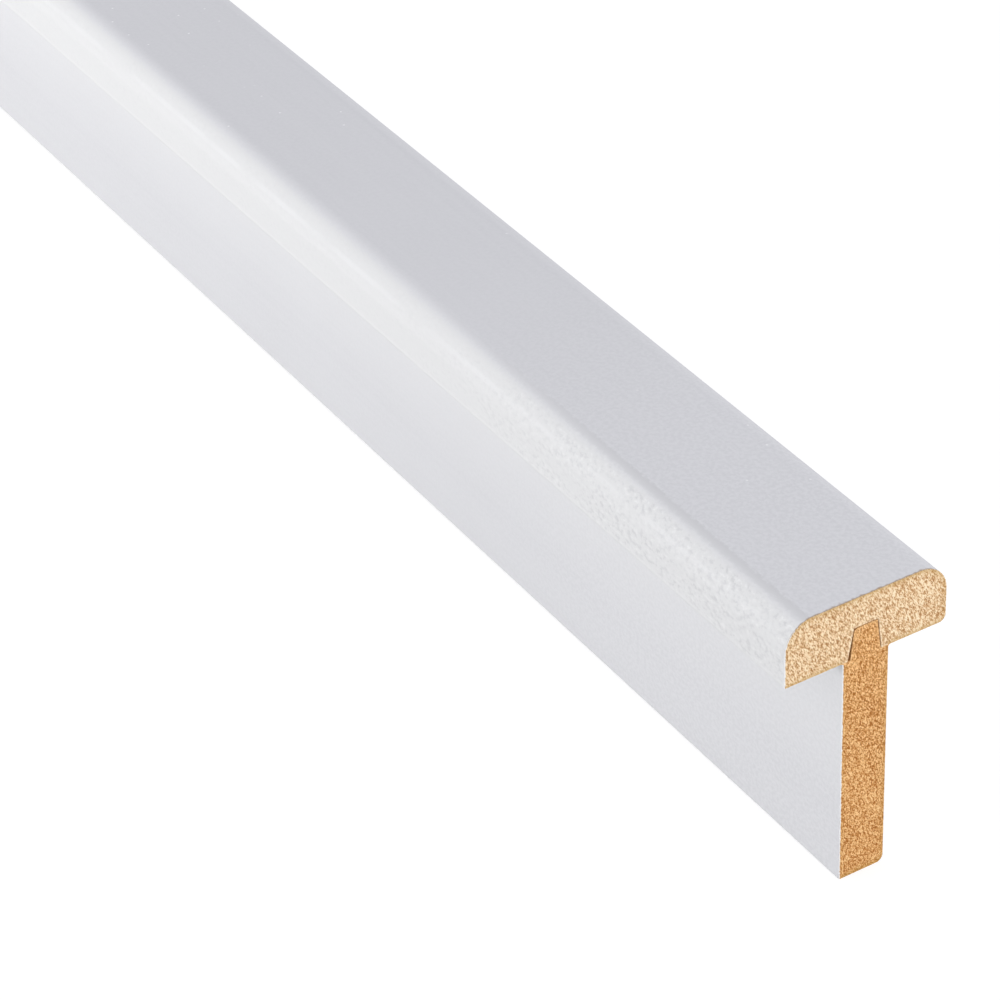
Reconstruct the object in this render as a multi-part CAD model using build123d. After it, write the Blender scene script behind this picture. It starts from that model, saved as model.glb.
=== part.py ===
from build123d import *

import os

# T-astragal for a pair of doors: a rounded cap strip glued onto the tapered tongue of a flat stem strip.
# The stick stands on the foot of its stem. X runs along it, Y across the cap from front to back, and Z up.
# The origin is on the floor, under the middle of the stick's length and width. Sizes are in millimetres.

# Stick
length = 2133.6  # 84 in, as such stock is sold

# Cap strip, milled from 12 mm board
cap_width = 31.75  # 1 1/4 in
cap_thickness = 12.0
cap_round_over = 5.5  # radius of both upper edges
cap_front_arris = 0.4  # the lower front edge is left almost sharp
cap_back_easing = 1.3  # the lower back edge is eased by hand

# Stem strip, ripped from 9 mm board
stem_thickness = 9.0
stem_reach = 45.15  # from the cap's underside down to the foot, for a stick 2 1/4 in deep
stem_front_arris = 0.3
stem_back_easing = 1.3

# Tongue along the top of the stem, narrower at its tip than at its root
tongue_height = 6.0
tongue_shoulder = 1.5  # seat on the cap's underside, at each side of the root
tongue_lean = 0.75  # how far each flank leans in between root and tip
tongue_corner = 0.5  # the front corner of the tip is worn off by the cutter

# Room for glue in the groove
glue_line = 0.15  # over the tip and beside the back flank
front_gap = 0.5  # beside the front flank at the mouth, where the joint stays open

# Worked out from the sizes above
tongue_root_half = stem_thickness / 2 - tongue_shoulder
tongue_tip_half = tongue_root_half - tongue_lean


def wedge(root_front, root_back, tip_half, height):
    """Section of the tongue or of its groove, which narrows upwards from the cap's underside."""
    tip_level = stem_reach + height
    return Polygon(
        (root_front, stem_reach),
        (root_back, stem_reach),
        (tip_half, tip_level),
        (-tip_half, tip_level),
    )


def corners(section, level):
    """Corner points of a section at its lowest (0) or highest (-1) level, from front to back."""
    return section.vertices().group_by(Axis.Y)[level].sort_by(Axis.X)


def cap_section():
    """Flat strip with two rounded upper edges and the tongue's groove in its underside."""
    section = Pos(0, stem_reach) * Rectangle(cap_width, cap_thickness, align=(Align.CENTER, Align.MIN))
    section = fillet(corners(section, -1), cap_round_over)
    section = fillet(corners(section, 0)[0], cap_front_arris)
    section = fillet(corners(section, 0)[-1], cap_back_easing)
    groove = wedge(
        -tongue_root_half - front_gap,
        tongue_root_half + glue_line,
        tongue_tip_half + glue_line,
        tongue_height + glue_line,
    )
    return section - groove


def stem_section():
    """Upright strip whose shoulders seat on the cap's underside, with the tongue between them."""
    board = Rectangle(stem_thickness, stem_reach, align=(Align.CENTER, Align.MIN))
    board = fillet(corners(board, 0)[0], stem_front_arris)
    board = fillet(corners(board, 0)[-1], stem_back_easing)
    tongue = wedge(-tongue_root_half, tongue_root_half, tongue_tip_half, tongue_height)
    tongue = chamfer(corners(tongue, -1)[0], tongue_corner)
    return board + tongue


def strip(section):
    """A section drawn across the stick, run out to both of its sawn ends."""
    return extrude(Plane.YZ * section, amount=length / 2, both=True)


os.makedirs("parts", exist_ok=True)
pieces = {"cap": strip(cap_section()), "stem": strip(stem_section())}
for name, solid in pieces.items():
    solid.label = name
    export_step(solid, f"parts/{name}.step")
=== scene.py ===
import math
from collections import namedtuple

import bpy
import numpy as np
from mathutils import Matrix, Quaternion, Vector, kdtree, noise
from mathutils.geometry import delaunay_2d_cdt


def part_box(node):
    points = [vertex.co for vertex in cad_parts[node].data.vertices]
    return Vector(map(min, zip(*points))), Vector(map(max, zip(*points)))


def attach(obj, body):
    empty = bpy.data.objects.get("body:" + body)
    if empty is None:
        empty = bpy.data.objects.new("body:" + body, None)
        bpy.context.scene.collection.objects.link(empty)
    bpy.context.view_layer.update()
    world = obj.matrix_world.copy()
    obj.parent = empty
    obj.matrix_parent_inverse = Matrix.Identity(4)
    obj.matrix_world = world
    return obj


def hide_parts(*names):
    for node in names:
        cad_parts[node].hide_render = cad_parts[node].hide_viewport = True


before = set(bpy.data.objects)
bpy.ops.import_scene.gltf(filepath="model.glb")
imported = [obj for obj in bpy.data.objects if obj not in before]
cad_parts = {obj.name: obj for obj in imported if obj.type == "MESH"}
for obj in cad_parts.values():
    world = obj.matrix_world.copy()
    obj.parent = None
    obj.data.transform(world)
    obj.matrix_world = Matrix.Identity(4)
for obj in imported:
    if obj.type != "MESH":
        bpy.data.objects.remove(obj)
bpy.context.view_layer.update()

# A stick of white-primed T-astragal moulding with raw sawn ends, standing on the foot of its stem.
# X runs along the stick, Y across it from front to back, and Z up. Lengths are in metres. Section outlines
# are drawn counter-clockwise as seen from the near end, which is the +X one.

MM = 0.001
PER_MM = 1 / MM

# Places read from the frame
cap_low, cap_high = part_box("cap")
stem_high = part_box("stem")[1]
far_end, near_end = cap_low.x, cap_high.x
seat = cap_low.z  # the cap's underside, where the stem's shoulders bear
cap_top = cap_high.z
cap_half = cap_high.y
stem_half = stem_high.y
tongue_top = stem_high.z

# Sizes of the section that the frame's boxes don't give
CAP_ROUND_OVER = 5.5 * MM
CAP_FRONT_ARRIS = 0.4 * MM
CAP_BACK_EASING = 1.3 * MM
STEM_FRONT_ARRIS = 0.3 * MM
STEM_BACK_EASING = 1.3 * MM
TONGUE_SHOULDER = 1.5 * MM
TONGUE_LEAN = 0.75 * MM
TONGUE_CORNER = 0.5 * MM
GLUE_LINE = 0.15 * MM
FRONT_GAP = 0.5 * MM
FRONT_BEAD = 0.35 * MM  # radius of the primer's bead in the front corner under the cap
BACK_BEAD = 0.45 * MM

# Where the primer is painted whiter, and how much, from 0 to 1: a thicker coat along the cap's lower front
# edge, and painted light on the stem's sides under the cap that lifts the shade of its overhang
ARRIS_BAND = 0.6 * MM  # its height above the cap's lower front edge
ARRIS_BAND_START = 0.2
ARRIS_COAT = 0.6
PAINTED_LIGHT_UNDER_CAP = 0.65  # painted light on the stem's sides and beads below the cap
PAINTED_LIGHT_REACH = 15 * MM
PAINTED_LIGHT_FADE = 16 * MM

# How far up the back round-over, in degrees, the cutter's opened fibres show
BACK_MILLED_TO = 50

# How finely the strips are meshed
OUTLINE_STEP = 0.2 * MM
LEAST_ARC_STEPS = 3
END_STEP = 0.14 * MM
END_JITTER = 0.22  # share of a step
END_CLEARANCE = 0.6  # share of a step
END_RINGS = [0.0, 0.2 * MM, 0.6 * MM, 2 * MM, 6 * MM, 20 * MM]
RINGS_PER_SEGMENT = 8
INSIDE_ONLY = 1  # has the triangulation keep only what lies inside the outline
MERGE_DISTANCE = 1e-6  # in mm
SHARP_ANGLE = math.radians(50)

# The texture map: rows for the long sides, cut into segments, and a row for each sawn end
MAP_SEGMENTS = 4
MAP_END_ROW = 0.18
MAP_GAP = 0.012

# The sawn ends
RELIEF_DEPTH = 0.10 * MM
RAGGED_EDGE = 0.05 * MM
THIN_FILM = 0.08 * MM  # how wide the primer's edge shows around an end
FRONT_FILM = 0.34 * MM  # and along the front edges, where the coat is heaviest
DENSE_SKIN = 0.45 * MM  # how deep the darker, harder skin of the board reaches
LEAST_SKIN = 0.45  # its strength along upright edges, beside 1 along level ones
CRUSHED_RIM = 0.22 * MM  # pale crushed fibres along the joint
CHIP_REACH = 0.3 * MM  # how far chips run from the saw cut into the primer

# Height of the torn fibres: its middle, and noises by bumps per mm and by weight
MIDDLE_HEIGHT = 0.55
TUFT_SCALE, TUFT_WEIGHT = 3.3, 0.75
FINE_SCALE, FINE_WEIGHT = 5.0, 0.45
PIT_SCALE, PIT_WEIGHT = 2.0, 0.5
PIT_THRESHOLD = 0.2
FINE_OFFSET = Vector((7, 3, 1))
PIT_OFFSET = Vector((1, 9, 4))
SIDE_RELIEF = 0.5

# A point of an outline: its place, how open the fibres are under its coat, from 0 on the board's faces to 1
# on a milled edge, how much whiter it is painted (a thicker coat on the cap, painted light on the stem
# under the cap), and whether it is bare board
Spot = namedtuple("Spot", "y z fuzz gather raw")
Grain = namedtuple("Grain", "slant stretch seed")
Noise = namedtuple("Noise", "scale detail roughness", defaults=(2.0, 0.5))


def blend(pair, share):
    """The value at a share of the way between the two of a pair."""
    return pair[0] + (pair[1] - pair[0]) * share


def line(start, end, fuzz=(0, 0), gather=(0, 0), raw=False):
    """Spots from start up to, but not including, end."""
    count = max(1, round(math.dist(start, end) / OUTLINE_STEP))
    y, z = zip(start, end)
    shares = [k / count for k in range(count)]
    return [Spot(blend(y, t), blend(z, t), blend(fuzz, t), blend(gather, t), raw) for t in shares]


def arc(centre, radius, angles, fuzz=(0, 0), gather=(0, 0)):
    """Spots along an arc between two angles in degrees, without its last one."""
    length = radius * math.radians(abs(angles[1] - angles[0]))
    count = max(LEAST_ARC_STEPS, round(length / OUTLINE_STEP))
    spots = []
    for k in range(count):
        share = k / count
        angle = math.radians(blend(angles, share))
        y = centre[0] + radius * math.cos(angle)
        z = centre[1] + radius * math.sin(angle)
        spots.append(Spot(y, z, blend(fuzz, share), blend(gather, share), False))
    return spots


def cap_outline():
    """The cap's section: flat underside with the groove, milled edges, flat top between the round-overs."""
    root = stem_half - TONGUE_SHOULDER
    tip = root - TONGUE_LEAN + GLUE_LINE
    groove_top = tongue_top + GLUE_LINE
    mouth_front, mouth_back = -root - FRONT_GAP, root + GLUE_LINE
    arris, easing, sweep = CAP_FRONT_ARRIS, CAP_BACK_EASING, CAP_ROUND_OVER
    band_top = seat + arris + ARRIS_BAND
    front_sweep, back_sweep = (-cap_half + sweep, cap_top - sweep), (cap_half - sweep, cap_top - sweep)
    spots = arc((-cap_half + arris, seat + arris), arris, (180, 270), fuzz=(1, 0), gather=(ARRIS_COAT, 0))
    spots += line((-cap_half + arris, seat), (-stem_half, seat))
    spots += line((-stem_half, seat), (mouth_front, seat), raw=True)
    spots += line((mouth_front, seat), (-tip, groove_top), raw=True)
    spots += line((-tip, groove_top), (tip, groove_top), raw=True)
    spots += line((tip, groove_top), (mouth_back, seat), raw=True)
    spots += line((mouth_back, seat), (stem_half, seat), raw=True)
    spots += line((stem_half, seat), (cap_half - easing, seat))
    spots += arc((cap_half - easing, seat + easing), easing, (270, 360), fuzz=(0, 1))
    spots += line((cap_half, seat + easing), (cap_half, cap_top - sweep), fuzz=(1, 1))
    spots += arc(back_sweep, sweep, (0, BACK_MILLED_TO), fuzz=(1, 0))
    spots += arc(back_sweep, sweep, (BACK_MILLED_TO, 90))
    spots += line((cap_half - sweep, cap_top), (-cap_half + sweep, cap_top))
    spots += arc(front_sweep, sweep, (90, 180), fuzz=(0, 1))
    spots += line((-cap_half, cap_top - sweep), (-cap_half, band_top), fuzz=(1, 1))
    band_coat = (ARRIS_BAND_START, ARRIS_COAT)
    spots += line((-cap_half, band_top), (-cap_half, seat + arris), fuzz=(1, 1), gather=band_coat)
    return spots


def stem_outline():
    """The stem's section: foot, flat sides, beads of primer under the cap, shoulders and tapered tongue."""
    root = stem_half - TONGUE_SHOULDER
    tip = root - TONGUE_LEAN
    arris, easing = STEM_FRONT_ARRIS, STEM_BACK_EASING
    flank = Vector((-root + tip, seat - tongue_top)).normalized() * TONGUE_CORNER
    corner = (-tip + flank.x, tongue_top + flank.y)
    # The stem's sides and beads just under the cap are painted lighter, as painted light lifting the shade
    # of the cap's overhang
    painted_light_down_to = seat - PAINTED_LIGHT_REACH
    painted_light_fade_from = painted_light_down_to - PAINTED_LIGHT_FADE
    spots = arc((-stem_half + arris, arris), arris, (180, 270), fuzz=(0, 1))
    spots += line((-stem_half + arris, 0), (stem_half - easing, 0), fuzz=(1, 1))
    spots += arc((stem_half - easing, easing), easing, (270, 360), fuzz=(1, 0))
    spots += line((stem_half, easing), (stem_half, painted_light_fade_from))
    spots += line((stem_half, painted_light_fade_from), (stem_half, painted_light_down_to), gather=(0, PAINTED_LIGHT_UNDER_CAP))
    spots += line((stem_half, painted_light_down_to), (stem_half, seat - BACK_BEAD), gather=(PAINTED_LIGHT_UNDER_CAP, PAINTED_LIGHT_UNDER_CAP))
    spots += arc((stem_half + BACK_BEAD, seat - BACK_BEAD), BACK_BEAD, (180, 90), gather=(PAINTED_LIGHT_UNDER_CAP, PAINTED_LIGHT_UNDER_CAP))
    spots += line((stem_half + BACK_BEAD, seat), (root, seat), raw=True)
    spots += line((root, seat), (tip, tongue_top), raw=True)
    spots += line((tip, tongue_top), (-tip + TONGUE_CORNER, tongue_top), raw=True)
    spots += line((-tip + TONGUE_CORNER, tongue_top), corner, raw=True)
    spots += line(corner, (-root, seat), raw=True)
    spots += line((-root, seat), (-stem_half - FRONT_BEAD, seat), raw=True)
    spots += arc((-stem_half - FRONT_BEAD, seat - FRONT_BEAD), FRONT_BEAD, (90, 0), gather=(PAINTED_LIGHT_UNDER_CAP, PAINTED_LIGHT_UNDER_CAP))
    spots += line((-stem_half, seat - FRONT_BEAD), (-stem_half, painted_light_down_to), gather=(PAINTED_LIGHT_UNDER_CAP, PAINTED_LIGHT_UNDER_CAP))
    spots += line((-stem_half, painted_light_down_to), (-stem_half, painted_light_fade_from), gather=(PAINTED_LIGHT_UNDER_CAP, 0))
    spots += line((-stem_half, painted_light_fade_from), (-stem_half, arris))
    return spots


class Section:
    """A closed outline, with what the meshing and the finish need to know about each of its points."""

    def __init__(self, outline):
        self.count = len(outline)
        self.loop = np.array([(spot.y, spot.z) for spot in outline])
        self.fuzz = np.array([spot.fuzz for spot in outline])
        self.gather = np.array([spot.gather for spot in outline])
        self.raw = np.array([spot.raw for spot in outline])
        after, before = np.roll(self.loop, -1, axis=0), np.roll(self.loop, 1, axis=0)
        run = after - before
        self.normal = np.stack([run[:, 1], -run[:, 0]], 1) / np.linalg.norm(run, axis=1)[:, None]
        steps = np.linalg.norm(after - self.loop, axis=1)
        self.girth = np.concatenate([[0], np.cumsum(steps)])
        facing_front = np.clip(-self.normal[:, 0], 0, 1) ** 2
        self.film = np.where(self.raw, 0, THIN_FILM + (FRONT_FILM - THIN_FILM) * facing_front)
        self.upward = np.where(self.raw, 0, np.clip(self.normal[:, 1], 0, 1))
        self.level = np.where(self.raw, 0, np.abs(self.normal[:, 1]))


def inside(points, loop):
    """Which of the points lie inside a closed outline, by counting its crossings."""
    y, z = points.T
    found = np.zeros(len(points), bool)
    for (y0, z0), (y1, z1) in zip(loop, np.roll(loop, -1, axis=0)):
        if z0 != z1:
            crossed = (z0 > z) != (z1 > z)
            found ^= crossed & (y < y0 + (z - z0) * (y1 - y0) / (z1 - z0))
    return found


def end_lattice(loop, seed):
    """Points for the inside of a sawn end, on a jittered lattice that keeps clear of the outline.

    Each comes with its nearest point of the outline and how far away that is."""
    draw = np.random.default_rng(seed)
    low, high = loop.min(0), loop.max(0)
    rows = np.arange(low[1], high[1], END_STEP * math.sqrt(3) / 2)
    columns = np.arange(low[0], high[0], END_STEP)
    y, z = np.meshgrid(columns, rows)
    y = y + (np.arange(len(rows)) % 2)[:, None] * END_STEP / 2
    points = np.stack([y.ravel(), z.ravel()], 1)
    points += draw.uniform(-END_JITTER, END_JITTER, points.shape) * END_STEP
    points = points[inside(points, loop)]
    tree = kdtree.KDTree(len(loop))
    for k, (py, pz) in enumerate(loop):
        tree.insert((py, pz, 0), k)
    tree.balance()
    found = [tree.find((py, pz, 0)) for py, pz in points]
    nearest = np.array([index for _, index, _ in found])
    away = np.array([distance for _, _, distance in found])
    clear = away > END_STEP * END_CLEARANCE
    return points[clear], nearest[clear], away[clear]


def fibre_relief(y, z, grain):
    """Height of the torn fibres at a point of a sawn end, from 0 in a pit to 1 on a tuft."""
    y, z = y / MM, z / MM
    along = math.cos(grain.slant) * y + math.sin(grain.slant) * z
    across = math.cos(grain.slant) * z - math.sin(grain.slant) * y
    place = Vector((along / grain.stretch, across, grain.seed))
    tuft = noise.noise(place * TUFT_SCALE)
    fine = noise.noise(place * FINE_SCALE + FINE_OFFSET)
    pit = max(0.0, noise.noise(place * PIT_SCALE + PIT_OFFSET) - PIT_THRESHOLD)
    height = MIDDLE_HEIGHT + TUFT_WEIGHT * tuft + FINE_WEIGHT * fine - PIT_WEIGHT * pit
    return min(1.0, max(0.0, height))


def add_attribute(mesh, name, on_sides, on_end):
    """Store a number for each point: those of the long sides, then those inside the two sawn ends."""
    values = np.concatenate([on_sides, on_end, on_end])
    layer = mesh.attributes.new(name, "FLOAT", "POINT")
    layer.data.foreach_set("value", np.asarray(values, np.float32))


def strip(name, section, grain):
    """A strip of board: its outline run along the stick, closed by sawn ends with torn fibres.

    Faces take the first material where they are primed and the second where the board is bare."""
    count, loop = section.count, section.loop
    segment = (near_end - far_end) / MAP_SEGMENTS
    ring_step = segment / RINGS_PER_SEGMENT
    rings = {far_end + ring_step * k for k in range(1, MAP_SEGMENTS * RINGS_PER_SEGMENT)}
    rings |= {far_end + d for d in END_RINGS} | {near_end - d for d in END_RINGS}
    rings = sorted(rings)

    # The flat pattern of a sawn end, and how far each of its points lies behind the end
    lattice, nearest, away = end_lattice(loop, grain.seed)
    flat = np.concatenate([loop, lattice])
    pattern = [Vector(point) for point in flat / MM]
    meshed = delaunay_2d_cdt(pattern, [], [list(range(count))], INSIDE_ONLY, MERGE_DISTANCE)
    end_faces, sources = meshed[2:4]
    triangles = [[sources[v][0] for v in face] for face in end_faces]
    height = np.array([fibre_relief(y, z, grain) for y, z in flat])
    most = np.concatenate([np.full(count, RAGGED_EDGE), np.full(len(lattice), RELIEF_DEPTH)])
    depth = most * (1 - height)
    coated = np.concatenate([~section.raw, away < section.film[nearest]])

    # Long sides, ring by ring
    places, faces, bare, spots = [], [], [], []
    side_row = (1 - 2 * MAP_END_ROW) / MAP_SEGMENTS
    for x in rings:
        inward = depth[:count] if x in (far_end, near_end) else np.zeros(count)
        places += [(x - math.copysign(inward[k], x), y, z) for k, (y, z) in enumerate(loop)]
    for ring, (x0, x1) in enumerate(zip(rings, rings[1:])):
        row = min(MAP_SEGMENTS - 1, int(((x0 + x1) / 2 - far_end) / segment))
        u0, u1 = ((x - far_end) / segment - row for x in (x0, x1))
        v = 2 * MAP_END_ROW + side_row * row + section.girth / section.girth[-1] * (side_row - MAP_GAP)
        for k in range(count):
            after = (k + 1) % count
            low, high = ring * count, (ring + 1) * count
            faces.append((low + k, low + after, high + after, high + k))
            spots += [(u0, v[k]), (u0, v[k + 1]), (u1, v[k + 1]), (u1, v[k])]
            bare.append(section.raw[k])

    # Sawn ends
    size = loop.max(0) - loop.min(0)
    on_map = (flat - loop.min(0)) * (MAP_END_ROW - MAP_GAP) / size.min()
    on_map = on_map if size[0] > size[1] else on_map[:, ::-1]
    for row, (x, ring) in enumerate(((far_end, 0), (near_end, len(rings) - 1))):
        start = len(places)
        places += [(x - math.copysign(d, x), y, z) for (y, z), d in zip(lattice, depth[count:])]
        for triangle in triangles:
            corners = triangle if x == near_end else triangle[::-1]
            faces.append([ring * count + v if v < count else start + v - count for v in corners])
            spots += [(on_map[v][0], on_map[v][1] + row * MAP_END_ROW) for v in corners]
            bare.append(not all(coated[v] for v in triangle))

    mesh = bpy.data.meshes.new(name)
    mesh.from_pydata(places, [], faces)
    mesh.polygons.foreach_set("use_smooth", np.ones(len(faces), bool))
    mesh.polygons.foreach_set("material_index", np.array(bare, np.int32))
    mesh.set_sharp_from_angle(angle=SHARP_ANGLE)
    mesh.uv_layers.new(name="OFBake").uv.foreach_set("vector", np.array(spots, np.float32).ravel())

    # What the materials need to know about each point
    from_end = np.repeat([min(x - far_end, near_end - x) for x in rings], count)
    chipped = np.tile(section.upward, len(rings)) * np.exp(-from_end / CHIP_REACH)
    painted = ~section.raw[nearest]
    skin_strength = LEAST_SKIN + (1 - LEAST_SKIN) * section.level[nearest]
    skin = np.where(painted, skin_strength * np.exp(-away / DENSE_SKIN), 0)
    crushed = np.where(painted, 0, np.exp(-away / CRUSHED_RIM))
    film = coated[count:]
    no_side, no_end = np.zeros(len(from_end)), np.zeros(len(lattice))
    add_attribute(mesh, "fuzz", np.tile(section.fuzz, len(rings)), film)
    add_attribute(mesh, "gather", np.tile(section.gather, len(rings)), film)
    add_attribute(mesh, "girth", np.tile(section.girth[:-1], len(rings)), no_end)
    add_attribute(mesh, "chipped", chipped, no_end)
    add_attribute(mesh, "relief", no_side + SIDE_RELIEF, height[count:])
    add_attribute(mesh, "skin", no_side, skin)
    add_attribute(mesh, "crushed", no_side, crushed)
    piece = bpy.data.objects.new(name, mesh)
    bpy.context.scene.collection.objects.link(piece)
    return piece


class Graph:
    """A node tree with short calls for making nodes and joining them."""

    def __init__(self, tree):
        self.tree = tree
        self.tree.nodes.clear()

    def add(self, kind, inputs, **properties):
        """A new node, with its inputs joined to sockets or set to values."""
        made = self.tree.nodes.new("ShaderNode" + kind)
        for key, value in properties.items():
            setattr(made, key, value)
        for key, value in inputs.items():
            if isinstance(value, bpy.types.NodeSocket):
                self.tree.links.new(value, made.inputs[key])
            else:
                made.inputs[key].default_value = value
        return made

    def attribute(self, name):
        return self.add("Attribute", {}, attribute_name=name).outputs["Fac"]

    def math(self, operation, first, second):
        return self.add("Math", {0: first, 1: second}, operation=operation).outputs[0]

    def plus(self, first, second):
        return self.math("ADD", first, second)

    def minus(self, first, second):
        return self.math("SUBTRACT", first, second)

    def times(self, product, *factors):
        for factor in factors:
            product = self.math("MULTIPLY", product, factor)
        return product

    def noise(self, place, kind):
        inputs = {"Scale": kind.scale, "Detail": kind.detail, "Roughness": kind.roughness}
        return self.add("TexNoise", {"Vector": place, **inputs}).outputs["Fac"]

    def span(self, value, low, high, start=0.0, end=1.0):
        """value, taken smoothly from low..high to start..end."""
        inputs = {"Value": value, "From Min": low, "From Max": high, "To Min": start, "To Max": end}
        return self.add("MapRange", inputs, interpolation_type="SMOOTHSTEP").outputs[0]

    def mix(self, factor, first, second):
        """A blend of two colours, by the Mix node's colour sockets."""
        made = self.add("Mix", {0: factor, 6: first, 7: second}, data_type="RGBA")
        return made.outputs[2]

    def ramp(self, value, stops):
        """A colour ramp through (place, colour) stops, given in rising order."""
        made = self.add("ValToRGB", {"Fac": value})
        elements = made.color_ramp.elements
        for place, _ in stops[2:]:
            elements.new(place)
        for element, (place, tint) in zip(elements, stops):
            element.position = place
            element.color = tint
        return made.outputs["Color"]

    def vector(self, x, y, z):
        return self.add("CombineXYZ", {"X": x, "Y": y, "Z": z}).outputs[0]

    def dot(self, place, direction):
        return self.add("VectorMath", {0: place, 1: direction}, operation="DOT_PRODUCT").outputs["Value"]


def new_material(name):
    """A material, and the graph of its empty node tree."""
    material = bpy.data.materials.new(name)
    material.use_nodes = True
    return material, Graph(material.node_tree)


def colour(red, green, blue):
    return (red, green, blue, 1.0)


def grey(level, blue):
    """A grey that leans a little to blue or to yellow."""
    return colour(level, level, blue)


# In the values for materials below, a SPAN gives the range in which a feature comes in, and the two
# strengths it goes between where they aren't 0 and 1. A Noise's scale is in bumps per mm.

# Primer: how it wears towards the ends, by mm from an end; the painted shade line fades by it too
WEAR_FROM, WEAR_FULL = 125, 40
LEAST_WEAR = 0.3

# Primer: faint clouds, fine specks and lengthwise streaks
CLOUDS = Noise(0.03, 3.0, 0.6)
CLOUD_DARK, CLOUD_PALE = grey(0.70, 0.71), grey(0.73, 0.74)
SPECKS = Noise(1.3, 2.0, 0.6)
SPECK_SPAN = (0.35, 0.65)
SPECK_TONE = grey(0.765, 0.775)
STREAKS = Noise(0.8)
STREAK_STRETCH = 0.012
STREAK_SPAN = (0.35, 0.7, 0.0, 0.15)
STREAK_TONE = grey(0.77, 0.775)

# Primer: milled edges, by how open the fibres are, with painted shade and painted light shaped around the
# round-over
MOTTLE = Noise(0.85, 3.0, 0.6)
MOTTLE_MIDDLE = 0.5
MOTTLE_SQUEEZE = 1.25
RAGGEDNESS = 0.2
# A painted shade line where the round-over begins
SHADE_LINE_START_SPAN = (0.01, 0.10)
SHADE_LINE_END_SPAN = (0.34, 0.17)
SHADE_LINE_FADE_POWER = 1.3
SHADE_LINE_TONE = grey(0.66, 0.665)
MILLED_SPAN = (0.2, 0.42)
MILLED_TONE = grey(0.75, 0.74)
# A whiter coat on the upright faces, partly painted light that makes up for the less light they get than
# the round-over's crown
UPRIGHT_COAT_AND_PAINTED_LIGHT_SPAN = (0.6, 1.0)
UPRIGHT_COAT_AND_PAINTED_LIGHT_TONE = grey(0.778, 0.77)

# Primer: a thick streak along the round-over, the coat where it gathers, and painted light on the stem
# under the cap
THICK_STREAK_PLACE = 0.66
THICK_STREAK_SPAN = (0.02, 0.09, 1.0, 0.0)
THICK_STREAK_BREAKS = Noise(0.05)
THICK_STREAK_BREAK_SPAN = (0.35, 0.6)
THICK_STREAK_SHARE = 0.5
THICK_COAT_AND_PAINTED_LIGHT_SHARE = 0.6
THICK_COAT_AND_PAINTED_LIGHT_TONE = grey(0.86, 0.855)

# Primer: open pores and raised tufts on the milled edges
CLUSTERS = Noise(0.3)
CLUSTER_STRETCH = 0.3
CLUSTER_SPAN = (0.36, 0.6, 0.4, 1.0)
PORE_BAND_SPAN = (0.26, 0.42)
PORE_UPRIGHT_SPAN = (0.6, 0.8, 1.0, 0.85)
PORE_WEAR_POWER = 1.6
PORE_SPAN = (0.50, 0.63)
PORE_SHARE = 0.40
PORE_TONE = grey(0.52, 0.53)
TUFT_SPAN = (0.46, 0.32)
TUFT_SHARE = 0.42
TUFT_TONE = grey(0.93, 0.92)

# Primer: nibs of dust in the coat on top, one in some of the cells where dust fell
NIB_CELLS_PER_MM = 0.16
NIB_CHOICE_SPAN = (0.6, 0.62)
DUST = Noise(0.02, 1.0)
DUST_SPAN = (0.45, 0.6)
NIB_UPWARD_SPAN = (0.8, 0.95)
NIB_SIZE_SPAN = (0.02, 0.045, 1.0, 0.0)
NIB_TONE = grey(0.92, 0.92)

# Primer: chips along the sawn upper edge
CHIPS = Noise(0.9)
CHIP_SPAN = (0.75, 1.25)
CHIP_SHARE = 0.75
CHIP_TONE = colour(0.33, 0.20, 0.09)

# Primer: its surface
PEEL_HEIGHT = 0.5
PRIMER_BUMP = 0.06 * MM
PRIMER_SPECULAR = 0.0
PRIMER_ROUGHNESS = Noise(0.4)
PRIMER_ROUGHNESS_SPAN = (0.0, 1.6, 0.75, 0.95)

# Bare board: noises, their weights in its tone, the tones at which its three colours stand, and its surface
FIBRES, FIBRE_WEIGHT = Noise(6.3, 2.0, 0.6), 0.7
PATCHES, PATCH_WEIGHT = Noise(0.35), 0.06
RELIEF_WEIGHT = 0.13
BOARD_STOPS = (0.362, 0.446, 0.53)
FLECKS = Noise(5.6, 1.0)
FLECK_SPAN = (0.61, 0.72, 0.0, 0.6)
CRUSHED_SHARE = 0.6
BOARD_BUMP = 0.05 * MM
BOARD_SPECULAR = 0.15
BOARD_ROUGHNESS = 0.9

BUMP_STRENGTH = 0.5


def surface(graph, tone, roughness, specular, height, bump_depth):
    """Close a material's graph with a surface of this tone, bumped by height."""
    bump = graph.add("Bump", {"Strength": BUMP_STRENGTH, "Distance": bump_depth, "Height": height})
    inputs = {"Base Color": tone, "Roughness": roughness, "Specular IOR Level": specular}
    shader = graph.add("BsdfPrincipled", {**inputs, "Normal": bump.outputs[0]})
    graph.add("OutputMaterial", {"Surface": shader.outputs[0]})


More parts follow.
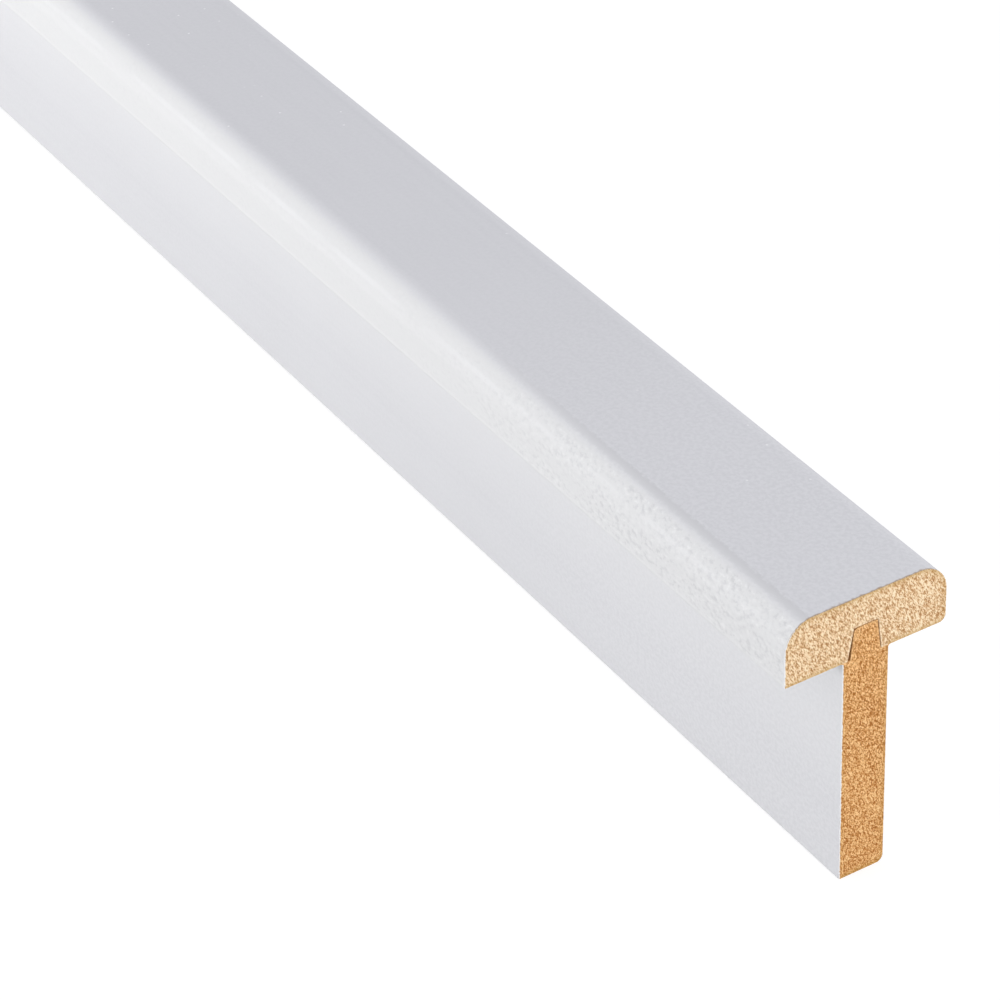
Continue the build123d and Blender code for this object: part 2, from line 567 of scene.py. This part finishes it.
def white_primer():
    """White primer: even on the board's faces, whiter and mottled where a cutter opened the fibres; painted
    shade and light shape the round-over, and painted light lifts the stem under the cap.
    """
    material, graph = new_material("white_primer")
    place = graph.add("TexCoord", {}).outputs["Object"]
    x = graph.dot(place, (PER_MM, 0, 0))
    girth = graph.times(graph.attribute("girth"), PER_MM)
    fuzz = graph.attribute("fuzz")
    unrolled = graph.vector(x, girth, 0.0)
    from_middle = graph.math("ABSOLUTE", x, 0.0)
    end = near_end / MM
    wear = graph.span(from_middle, end - WEAR_FROM, end - WEAR_FULL, LEAST_WEAR, 1.0)

    # Coat: faint clouds, fine specks and lengthwise streaks
    coat = graph.mix(graph.noise(unrolled, CLOUDS), CLOUD_DARK, CLOUD_PALE)
    specks = graph.noise(unrolled, SPECKS)
    coat = graph.mix(graph.times(graph.span(specks, *SPECK_SPAN), wear), coat, SPECK_TONE)
    lengthwise = graph.vector(graph.times(x, STREAK_STRETCH), girth, 0.0)
    coat = graph.mix(graph.span(graph.noise(lengthwise, STREAKS), *STREAK_SPAN), coat, STREAK_TONE)

    # Milled edges: a painted shade line where the round-over's sweep begins, then a whiter coat with a
    # ragged start, whiter still on the upright faces, partly as painted light that evens out the shading
    # around the round-over
    mottle = graph.noise(graph.vector(x, graph.times(girth, MOTTLE_SQUEEZE), 0.0), MOTTLE)
    ragged = graph.plus(fuzz, graph.times(graph.minus(mottle, MOTTLE_MIDDLE), RAGGEDNESS))
    painted_shade_line = graph.times(graph.span(ragged, *SHADE_LINE_START_SPAN), graph.span(ragged, *SHADE_LINE_END_SPAN))
    painted_shade_line = graph.times(painted_shade_line, graph.math("POWER", wear, SHADE_LINE_FADE_POWER))
    coat = graph.mix(painted_shade_line, coat, SHADE_LINE_TONE)
    coat = graph.mix(graph.span(ragged, *MILLED_SPAN), coat, MILLED_TONE)
    coat = graph.mix(graph.span(fuzz, *UPRIGHT_COAT_AND_PAINTED_LIGHT_SPAN), coat, UPRIGHT_COAT_AND_PAINTED_LIGHT_TONE)

    # A lighter streak along the round-over, a whiter coat where it gathers, and painted light on the stem
    # under the cap
    off_streak = graph.math("ABSOLUTE", graph.minus(fuzz, THICK_STREAK_PLACE), 0.0)
    unbroken = graph.span(graph.noise(unrolled, THICK_STREAK_BREAKS), *THICK_STREAK_BREAK_SPAN)
    streak = graph.times(graph.span(off_streak, *THICK_STREAK_SPAN), unbroken, THICK_STREAK_SHARE)
    thick_coat_and_painted_light = graph.math("MAXIMUM", streak, graph.attribute("gather"))
    coat = graph.mix(graph.times(thick_coat_and_painted_light, THICK_COAT_AND_PAINTED_LIGHT_SHARE), coat, THICK_COAT_AND_PAINTED_LIGHT_TONE)

    # Open pores and tufts on the milled edges, in clusters, and fewer of them on the upright sides
    rows = graph.vector(graph.times(x, CLUSTER_STRETCH), girth, 0.0)
    clusters = graph.span(graph.noise(rows, CLUSTERS), *CLUSTER_SPAN)
    bands = graph.times(graph.span(fuzz, *PORE_BAND_SPAN), graph.span(fuzz, *PORE_UPRIGHT_SPAN))
    worn = graph.math("POWER", wear, PORE_WEAR_POWER)
    where = graph.times(bands, clusters, worn, graph.minus(1.0, thick_coat_and_painted_light))
    pores = graph.times(graph.span(mottle, *PORE_SPAN), where)
    tufts = graph.times(graph.span(mottle, *TUFT_SPAN), where)
    coat = graph.mix(graph.times(pores, PORE_SHARE), coat, PORE_TONE)
    coat = graph.mix(graph.times(tufts, TUFT_SHARE), coat, TUFT_TONE)

    # Nibs of dust in the coat on top
    upward = graph.dot(graph.add("NewGeometry", {}).outputs["Normal"], (0, 0, 1))
    cell_inputs = {"Vector": unrolled, "Scale": NIB_CELLS_PER_MM}
    cells = graph.add("TexVoronoi", cell_inputs, voronoi_dimensions="2D").outputs
    chosen = graph.span(graph.add("SeparateXYZ", {0: cells["Color"]}).outputs["X"], *NIB_CHOICE_SPAN)
    dusty = graph.span(graph.noise(unrolled, DUST), *DUST_SPAN)
    chosen = graph.times(chosen, dusty, graph.span(upward, *NIB_UPWARD_SPAN))
    nibs = graph.times(graph.span(cells["Distance"], *NIB_SIZE_SPAN), chosen)
    coat = graph.mix(nibs, coat, NIB_TONE)

    # Bare fibre where the saw chipped the upper edge
    frayed = graph.plus(graph.attribute("chipped"), graph.noise(unrolled, CHIPS))
    coat = graph.mix(graph.times(graph.span(frayed, *CHIP_SPAN), CHIP_SHARE), coat, CHIP_TONE)

    torn = graph.times(graph.minus(mottle, pores), where)
    height = graph.plus(graph.times(specks, PEEL_HEIGHT), graph.plus(torn, nibs))
    uneven = graph.plus(fuzz, graph.noise(unrolled, PRIMER_ROUGHNESS))
    roughness = graph.span(uneven, *PRIMER_ROUGHNESS_SPAN)
    surface(graph, coat, roughness, PRIMER_SPECULAR, height, PRIMER_BUMP)
    return material


def raw_board(name, dark, middle, pale, skin, grain):
    """Bare fibreboard as the saw left it: pale torn fibres, dark flecks, a harder skin along the faces."""
    material, graph = new_material(name)
    place = graph.add("TexCoord", {}).outputs["Object"]
    stretched = 1 / (MM * grain.stretch)
    along = graph.dot(place, (0, math.cos(grain.slant) * stretched, math.sin(grain.slant) * stretched))
    across = graph.dot(place, (0, -math.sin(grain.slant) / MM, math.cos(grain.slant) / MM))
    fibre_place = graph.vector(along, across, graph.dot(place, (PER_MM, 0, 0)))
    fibres = graph.noise(fibre_place, FIBRES)
    # The tone follows the relief as well: darker in its pits, paler on its tufts
    relief = graph.times(graph.attribute("relief"), RELIEF_WEIGHT)
    tone = graph.plus(graph.times(fibres, FIBRE_WEIGHT), relief)
    tone = graph.plus(tone, graph.times(graph.noise(fibre_place, PATCHES), PATCH_WEIGHT))
    board = graph.ramp(tone, list(zip(BOARD_STOPS, (dark, middle, pale))))
    board = graph.mix(graph.span(graph.noise(fibre_place, FLECKS), *FLECK_SPAN), board, dark)
    board = graph.mix(graph.attribute("skin"), board, skin)
    board = graph.mix(graph.times(graph.attribute("crushed"), CRUSHED_SHARE), board, pale)
    surface(graph, board, BOARD_ROUGHNESS, BOARD_SPECULAR, fibres, BOARD_BUMP)
    return material


# The two strips
GRAIN_SLANT = math.radians(-66)
cap_grain = Grain(slant=GRAIN_SLANT, stretch=2.9, seed=11)
stem_grain = Grain(slant=GRAIN_SLANT, stretch=2.1, seed=23)
primer = white_primer()
cap_board = raw_board(
    "raw_cap_board",
    dark=colour(0.40, 0.197, 0.072),
    middle=colour(0.79, 0.527, 0.288),
    pale=colour(0.97, 0.81, 0.565),
    skin=colour(0.54, 0.35, 0.13),
    grain=cap_grain,
)
stem_board = raw_board(
    "raw_stem_board",
    dark=colour(0.33, 0.112, 0.023),
    middle=colour(0.645, 0.307, 0.094),
    pale=colour(0.945, 0.625, 0.305),
    skin=colour(0.44, 0.26, 0.065),
    grain=stem_grain,
)
strips = [
    (strip("cap_strip", Section(cap_outline()), cap_grain), "cap", "primed_cap", cap_board),
    (strip("stem_strip", Section(stem_outline()), stem_grain), "stem", "primed_stem", stem_board),
]
for piece, node, slot, board in strips:
    piece.data.materials.append(primer)
    piece.data.materials.append(board)
    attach(piece, "root")
    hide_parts(node)

# The studio
FLOOR_HALF_SIDE = 30.0
FLOOR_DROP = 0.02 * MM
FLOOR_LIT, FLOOR_SEEN = grey(0.4, 0.4), grey(0.28, 0.28)
FLOOR_GLOW = 0.80
SKY = colour(0.954, 0.959, 1.018)
SKY_STRENGTH = 0.675
WHITE = colour(1, 1, 1)


def seen_directly(graph):
    """1 for rays from the camera and for mirrored or see-through ones, else 0."""
    path = graph.add("LightPath", {}).outputs
    straight = graph.math("MAXIMUM", path["Is Camera Ray"], path["Is Glossy Ray"])
    return graph.math("MAXIMUM", straight, path["Is Transmission Ray"])


def pale_floor(half):
    """A wide floor that shows nearly white and still takes the stick's shadow."""
    mesh = bpy.data.meshes.new("floor")
    corners = [(-half, -half, 0), (half, -half, 0), (half, half, 0), (-half, half, 0)]
    mesh.from_pydata(corners, [], [(0, 1, 2, 3)])
    floor = bpy.data.objects.new("floor", mesh)
    bpy.context.scene.collection.objects.link(floor)
    floor.location.z = -FLOOR_DROP
    material, graph = new_material("pale_floor")
    seen = seen_directly(graph)
    diffuse = graph.add("BsdfDiffuse", {"Color": graph.mix(seen, FLOOR_LIT, FLOOR_SEEN)})
    glow = graph.add("Emission", {"Strength": graph.times(seen, FLOOR_GLOW)})
    both = graph.add("AddShader", {0: diffuse.outputs[0], 1: glow.outputs[0]})
    graph.add("OutputMaterial", {"Surface": both.outputs[0]})
    mesh.materials.append(material)


def studio_world(light_colour, strength):
    """A dim even sky for lighting, which shows as plain white."""
    world = bpy.data.worlds.new("studio")
    world.use_nodes = True
    graph = Graph(world.node_tree)
    sky = graph.add("Background", {"Color": light_colour, "Strength": strength})
    white = graph.add("Background", {"Color": WHITE, "Strength": 1.0})
    seen = seen_directly(graph)
    shown = graph.add("MixShader", {0: seen, 1: sky.outputs[0], 2: white.outputs[0]})
    graph.add("OutputWorld", {"Surface": shown.outputs[0]})
    bpy.context.scene.world = world


def softbox(name, place, target, size, power):
    """A rectangular lamp turned towards its target."""
    lamp = bpy.data.lights.new(name, "AREA")
    lamp.shape = "RECTANGLE"
    lamp.size, lamp.size_y = size
    lamp.energy = power
    box = bpy.data.objects.new(name, lamp)
    box.location = place
    box.rotation_euler = (Vector(target) - Vector(place)).to_track_quat("-Z", "Y").to_euler()
    box.visible_camera = False
    bpy.context.scene.collection.objects.link(box)


pale_floor(FLOOR_HALF_SIDE)
studio_world(SKY, SKY_STRENGTH)
softbox("front", place=(-0.27, -0.62, 0.1), target=(-0.27, 0, 0.03), size=(2.84, 0.16), power=8.35)
softbox("back", place=(0.0, 2.6, 0.24), target=(0, 0, 0), size=(2.6, 0.4), power=15)
for name, end, power in (("near_side", near_end, 29), ("far_side", far_end, 22)):
    softbox(name, place=(3 * end, 0.25, 0.6), target=(end, 0, 0), size=(0.8, 1.0), power=power)

# The camera, placed from the foot of the near end
FRAME_PIXELS = 1000
FOCAL_PIXELS = 3939
SENSOR_WIDTH = 36
CLIP_NEAR, CLIP_FAR = 0.01, 100
CAMERA_OFFSET = Vector((396.3, -301.0, 431.0)) * MM
AIM_OFFSET = Vector((-111.9, 0.0, 9.7)) * MM
CAMERA_ROLL = math.radians(-2.49)
foot = Vector((near_end, 0, 0))
eye = bpy.data.cameras.new("camera")
eye.sensor_width = SENSOR_WIDTH
eye.lens = SENSOR_WIDTH * FOCAL_PIXELS / FRAME_PIXELS
eye.clip_start, eye.clip_end = CLIP_NEAR, CLIP_FAR
camera = bpy.data.objects.new("camera", eye)
camera.location = foot + CAMERA_OFFSET
camera.rotation_mode = "QUATERNION"
level = (AIM_OFFSET - CAMERA_OFFSET).to_track_quat("-Z", "Y")
camera.rotation_quaternion = level @ Quaternion((0, 0, 1), CAMERA_ROLL)
bpy.context.scene.collection.objects.link(camera)
bpy.context.scene.camera = camera
bpy.context.scene.view_settings.view_transform = "Standard"
